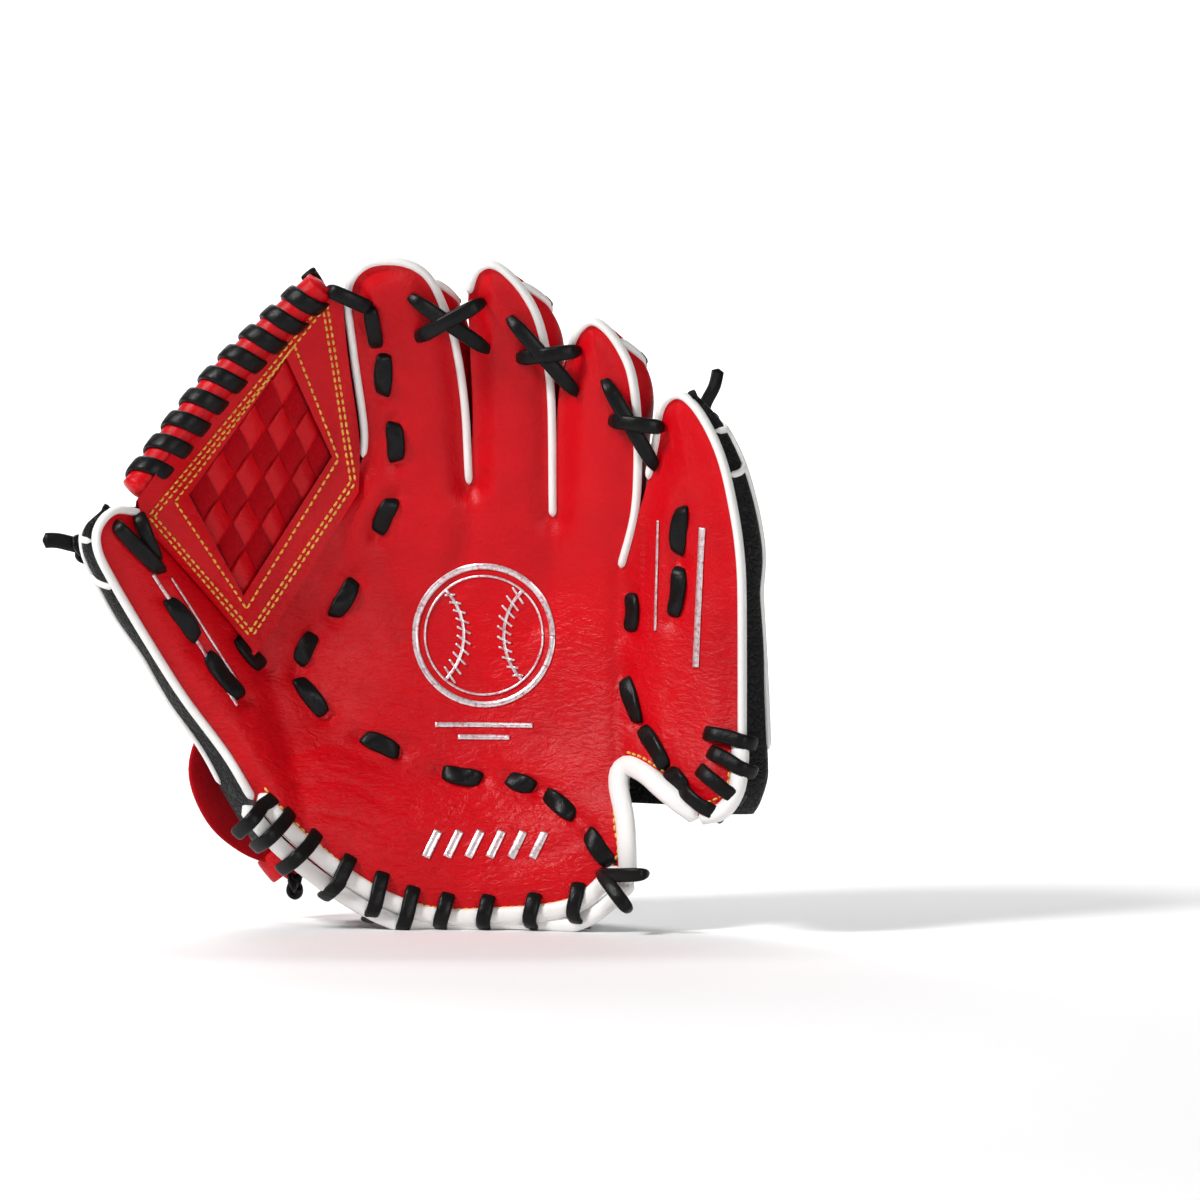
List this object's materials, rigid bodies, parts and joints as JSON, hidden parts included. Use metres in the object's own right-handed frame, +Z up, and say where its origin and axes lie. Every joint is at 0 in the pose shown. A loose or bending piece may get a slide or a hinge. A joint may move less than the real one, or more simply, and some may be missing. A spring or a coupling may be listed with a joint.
{
  "type": "baseball fielders glove",
  "caption": "Child's baseball glove with a laced finger shell, woven web, cupped pocket and padded heel; thumb and little finger sides fold to close it.",
  "frame": {"origin": "under the middle of the glove, on the surface that it stands on, heel and wrist edges down", "axes": "+Z up along the fingers, -Y out of the pocket, +X towards the little finger side"},
  "size_m": [0.228, 0.0912, 0.2325],
  "materials": {
    "red_leather": "smooth",
    "red_suede": "suede",
    "black_shell": "pebbled",
    "black_lace": "oiled",
    "white_trim": "smooth",
    "lining": "brushed",
    "felt": "felt",
    "plastic": "matte"
  },
  "bodies": {
    "palm": {"palm_leather": "red_leather", "palm_lining": "lining", "heel_pad": "felt", "index_back": "red_leather", "middle_back": "red_leather", "ring_back": "red_leather", "index_lining": "lining", "middle_lining": "lining", "ring_lining": "lining", "hand_back": "black_shell", "hand_back_lining": "lining", "index_welt": "white_trim", "middle_welt": "white_trim", "ring_welt": "white_trim", "heel_binding": "white_trim", "wrist_binding": "white_trim", "web_front_frame": "red_leather", "web_back_frame": "red_leather", "web_long_strips": "red_leather", "web_cross_strips": "red_suede", "web_roll": "red_leather", "web_roll_lace": "black_lace", "palm_lace": "black_lace", "heel_lace": "black_lace", "notch_lace": "black_lace", "finger_laces": "black_lace", "pinky_tie_lace": "black_lace", "web_index_lace": "black_lace", "back_lace_knot": "black_lace"},
    "thumb": {"thumb_leather": "red_leather", "thumb_back": "black_shell", "thumb_lining": "lining", "thumb_pad": "felt", "thumb_stiffener": "plastic", "thumb_welt": "white_trim", "thumb_heel_binding": "white_trim", "thumb_lace": "black_lace", "thumb_heel_lace": "black_lace", "web_thumb_lace": "black_lace", "thumb_tip_knot": "black_lace"},
    "pinky": {"pinky_leather": "red_leather", "pinky_back": "black_shell", "pinky_lining": "lining", "pinky_pad": "felt", "pinky_stiffener": "plastic", "pinky_welt": "white_trim", "pinky_heel_binding": "white_trim", "pinky_lace": "black_lace", "pinky_heel_lace": "black_lace", "pinky_tip_knot": "black_lace"},
    "strap": {"strap": "red_suede", "strap_knot": "red_leather", "strap_tail": "red_suede"}
  },
  "joints": [
    {"name": "thumb_close", "type": "hinge", "parent": "palm", "child": "thumb", "pos_m": [-0.0481, -0.0082, 0.0645], "axis": [-0.2801, 0.085, 0.9562], "range_deg": [0, 30], "deforming": ["web_front_frame", "web_back_frame", "web_long_strips", "web_cross_strips", "web_roll", "web_roll_lace"]},
    {"name": "pinky_close", "type": "hinge", "parent": "palm", "child": "pinky", "pos_m": [0.0686, -0.009, 0.09], "axis": [0, -0.135, -0.9908], "range_deg": [0, 20], "deforming": ["pinky_tie_lace"]},
    {"name": "strap_lift", "type": "hinge", "parent": "thumb", "child": "strap", "pos_m": [-0.07, 0.019, 0.066], "axis": [0.7507, 0, 0.6606], "range_deg": [0, 30]}
  ]
}
